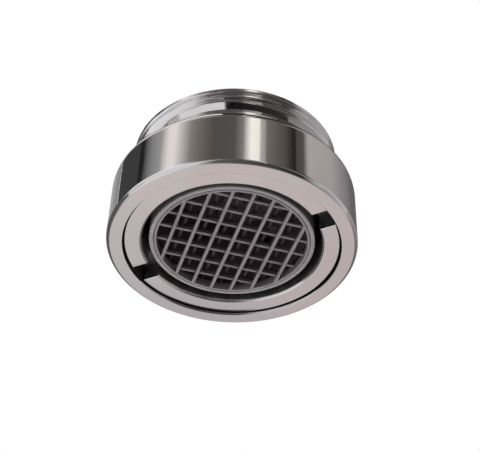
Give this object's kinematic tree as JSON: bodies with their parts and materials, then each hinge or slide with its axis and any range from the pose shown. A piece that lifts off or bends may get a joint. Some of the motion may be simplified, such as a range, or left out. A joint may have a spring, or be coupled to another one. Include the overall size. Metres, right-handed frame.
{
  "type": "tap aerator",
  "caption": "Theft-proof tap aerator: threaded body with key slots, free-spinning chromed sleeve, plastic lattice insert that mixes air into the water, slotted strainer and seal washer.",
  "frame": {"origin": "on the axis, in the plane of the sleeve's lower face", "axes": "+Z along the axis, from the outlet towards the thread; the key slots lie on a line 27 degrees clockwise of +X, seen from above"},
  "size_m": [0.028, 0.028, 0.0144],
  "materials": {
    "chromed_body": "bright chrome plate on turned brass",
    "chromed_sleeve": "bright chrome plate on turned brass",
    "grey_plastic": "moulded grey acetal, satin",
    "dark_plastic": "moulded dark acetal, satin",
    "pale_plastic": "moulded natural acetal, satin",
    "washer_rubber": "black nitrile rubber, matt"
  },
  "bodies": {
    "core": {"threaded_body": "chromed_body", "insert_housing": "grey_plastic", "outlet_lattice": "grey_plastic", "lower_lattice": "grey_plastic", "upper_lattice": "dark_plastic", "jet_plate": "dark_plastic", "strainer": "pale_plastic", "seal_washer": "washer_rubber"},
    "sleeve": {"sleeve": "chromed_sleeve"}
  },
  "joints": [
    {"name": "sleeve_spin", "type": "hinge", "parent": "core", "child": "sleeve", "pos_m": [0, 0, 0], "axis": [0, 0, 1], "continuous": true}
  ]
}
